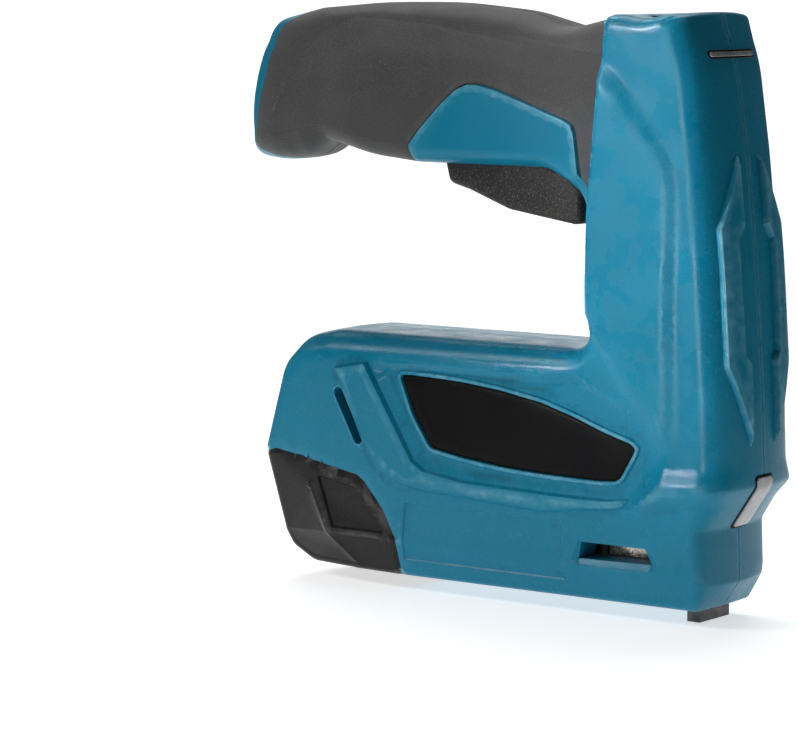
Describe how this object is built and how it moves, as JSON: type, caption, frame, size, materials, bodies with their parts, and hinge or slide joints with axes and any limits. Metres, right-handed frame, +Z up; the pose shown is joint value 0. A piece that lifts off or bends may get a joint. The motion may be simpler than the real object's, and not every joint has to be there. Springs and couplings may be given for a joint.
{
  "type": "electric stapler",
  "caption": "Cordless electric staple gun: closed handle over a motor base, upright striker column, pull-out bottom magazine.",
  "frame": {"origin": "centre of the box round the tool, on the level of the nose foot", "axes": "+X forward, +Y to the left of a user, +Z up through the handle"},
  "size_m": [0.1939, 0.048, 0.1882],
  "materials": {
    "teal_shell": "fine textured moulded plastic, satin, mineral teal",
    "soft_grip": "matt fine-grained soft overmould",
    "black_gloss": "smooth black moulded plastic",
    "grey_plastic": "fine spark texture, dark grey",
    "smoked_lens": "translucent grey diffuser",
    "bright_steel": "ground steel",
    "black_steel": "blackened steel",
    "spring_wire": "drawn spring wire",
    "nylon": "natural filled nylon",
    "nickel": "nickel plate",
    "circuit_board": "green solder mask",
    "cell_wrap": "shrunk plastic wrap",
    "red_insulation": "red wire insulation",
    "black_insulation": "black wire insulation"
  },
  "bodies": {
    "body": {"badge_left": "black_gloss", "badge_right": "black_gloss", "battery_cell": "cell_wrap", "battery_lead_minus": "black_insulation", "battery_lead_plus": "red_insulation", "battery_tab_front": "nickel", "battery_tab_rear": "nickel", "bumper": "soft_grip", "charge_board": "circuit_board", "charge_socket": "nickel", "compound_axle": "bright_steel", "contact_spring": "spring_wire", "control_board": "circuit_board", "gearbox_plate_left": "bright_steel", "gearbox_plate_right": "bright_steel", "grip_left": "soft_grip", "grip_right": "soft_grip", "guide_rod": "bright_steel", "housing_left": "teal_shell", "housing_right": "teal_shell", "housing_screw_1": "black_steel", "housing_screw_2": "black_steel", "housing_screw_3": "black_steel", "housing_screw_4": "black_steel", "housing_screw_5": "black_steel", "housing_screw_6": "black_steel", "housing_screw_7": "black_steel", "housing_screw_8": "black_steel", "indicator_board": "circuit_board", "indicator_lens": "smoked_lens", "lifting_axle": "bright_steel", "magazine_channel": "black_steel", "motor_can": "nickel", "motor_cap": "black_gloss", "motor_plate": "bright_steel", "nose_front_plate": "black_steel", "spring_seat": "bright_steel", "striker_spring": "spring_wire", "trigger_pin": "bright_steel", "trigger_spring": "spring_wire", "trigger_switch": "black_gloss", "work_light_board": "circuit_board", "work_light_lens": "smoked_lens"},
    "trigger": {"trigger": "grey_plastic"},
    "switch_plunger": {"switch_plunger": "nylon"},
    "force_dial": {"force_dial": "black_gloss"},
    "lifting_gear": {"lifting_gear": "bright_steel"},
    "compound_gear": {"compound_gear": "nylon"},
    "motor_rotor": {"motor_pinion": "bright_steel"},
    "striker": {"striker_carriage": "nylon", "driver_blade": "bright_steel", "blade_pin": "bright_steel"},
    "magazine": {"magazine_grip": "black_gloss", "staple_rail": "bright_steel", "staple_strip": "nickel", "pusher_spring": "spring_wire"},
    "pusher": {"pusher": "black_steel"},
    "magazine_latch": {"magazine_latch": "grey_plastic"},
    "nose_contact": {"nose_contact": "black_steel"}
  },
  "joints": [
    {"name": "trigger_pull", "type": "hinge", "parent": "body", "child": "trigger", "pos_m": [-0.0106, 0, 0.142], "axis": [0, -1, 0], "range_deg": [0, 7], "stiffness_Nm_per_rad": 1.2, "springref_deg": -3.44, "deforming": ["trigger_spring"]},
    {"name": "switch_press", "type": "slide", "parent": "body", "child": "switch_plunger", "axis": [0, 0, 1], "range_m": [0, 0.0036]},
    {"name": "force_dial_turn", "type": "hinge", "parent": "body", "child": "force_dial", "pos_m": [0.0644, 0, 0.1825], "axis": [0, 0, 1], "range_deg": [0, 270]},
    {"name": "lift_turn", "type": "hinge", "parent": "body", "child": "lifting_gear", "pos_m": [0.0424, 0, 0.0605], "axis": [0, -1, 0], "range_deg": [0, 114]},
    {"name": "stage_turn", "type": "hinge", "parent": "body", "child": "compound_gear", "pos_m": [0.0214, 0, 0.0605], "axis": [0, -1, 0], "range_deg": [-290, 0]},
    {"name": "motor_turn", "type": "hinge", "parent": "body", "child": "motor_rotor", "pos_m": [0.003, 0, 0.0605], "axis": [0, -1, 0], "range_deg": [0, 1030]},
    {"name": "striker_lift", "type": "slide", "parent": "body", "child": "striker", "axis": [0, 0, 1], "range_m": [0, 0.024], "deforming": ["striker_spring"]},
    {"name": "magazine_pull", "type": "slide", "parent": "body", "child": "magazine", "axis": [-1, 0, 0], "range_m": [0, 0.09]},
    {"name": "pusher_slide", "type": "slide", "parent": "magazine", "child": "pusher", "axis": [1, 0, 0], "range_m": [-0.03, 0], "stiffness_N_per_m": 40, "springref_m": 0.05},
    {"name": "latch_press", "type": "hinge", "parent": "magazine", "child": "magazine_latch", "pos_m": [-0.0772, 0, 0.0165], "axis": [0, 1, 0], "range_deg": [0, 7], "stiffness_Nm_per_rad": 0.3, "springref_deg": -5.73},
    {"name": "contact_press", "type": "slide", "parent": "body", "child": "nose_contact", "axis": [0, 0, 1], "range_m": [0, 0.0043], "stiffness_N_per_m": 2500, "springref_m": -0.004, "deforming": ["contact_spring"]}
  ],
  "couplings": [
    {"joint": "switch_press", "follows": "trigger_pull", "m_per_rad": 0.029},
    {"joint": "stage_turn", "follows": "lift_turn", "ratio": -2.5},
    {"joint": "motor_turn", "follows": "lift_turn", "ratio": 9},
    {"joint": "striker_lift", "follows": "lift_turn", "m_per_rad": 0.012}
  ]
}
